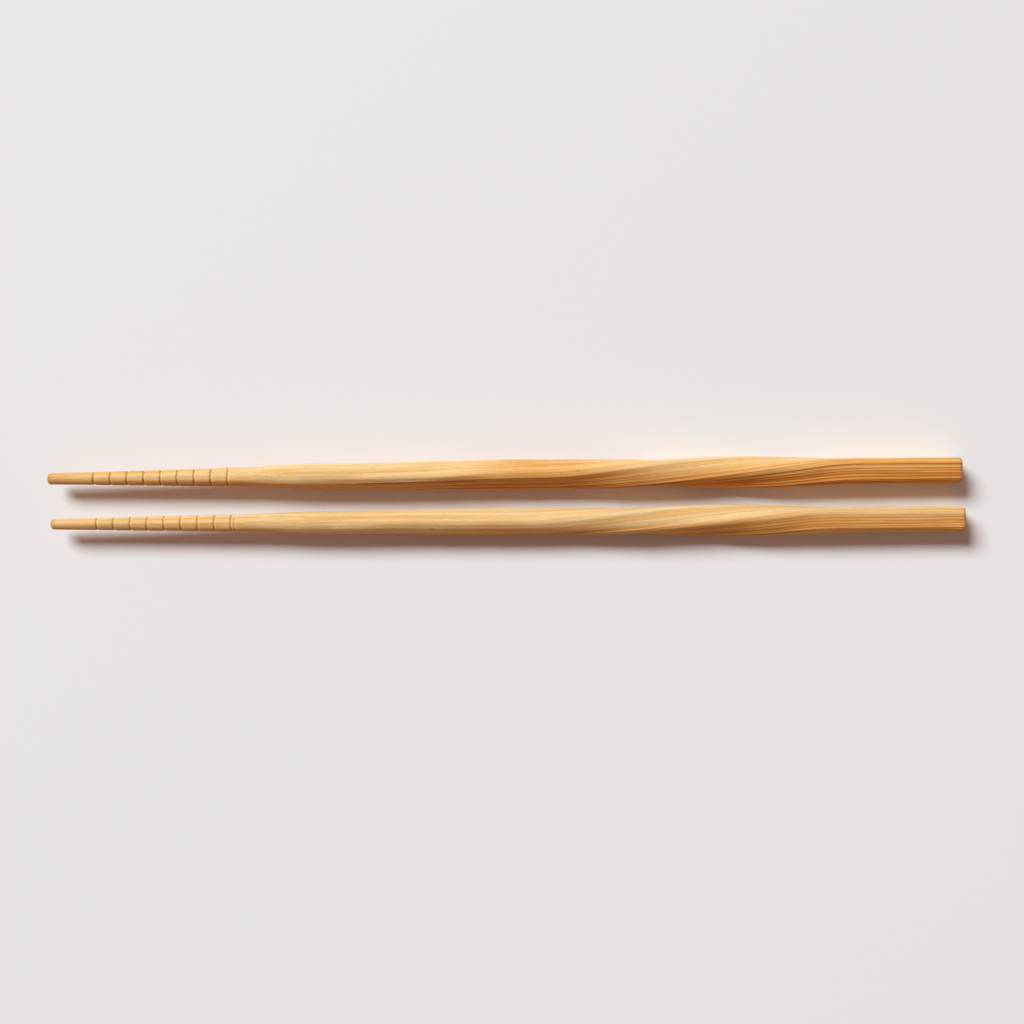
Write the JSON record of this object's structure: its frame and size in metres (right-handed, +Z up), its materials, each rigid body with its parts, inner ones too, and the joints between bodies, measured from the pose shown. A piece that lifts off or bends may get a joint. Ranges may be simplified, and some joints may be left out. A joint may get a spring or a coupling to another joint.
{
  "type": "pair of chopsticks",
  "caption": "Slender bamboo chopsticks with a square handle, a left-hand twist, a soft round body and a grooved turned tip, for picking up food.",
  "frame": {"origin": "middle of the lying pair, on the surface that it lies on", "axes": "+X along the sticks toward the handle ends, +Z up from the surface, +Y toward the back stick"},
  "size_m": [0.2408, 0.021, 0.0085],
  "materials": {
    "bamboo": "sanded carbonised bamboo with a thin satin oil finish"
  },
  "bodies": {
    "root": {"back_chopstick": "bamboo", "front_chopstick": "bamboo"}
  },
  "joints": []
}
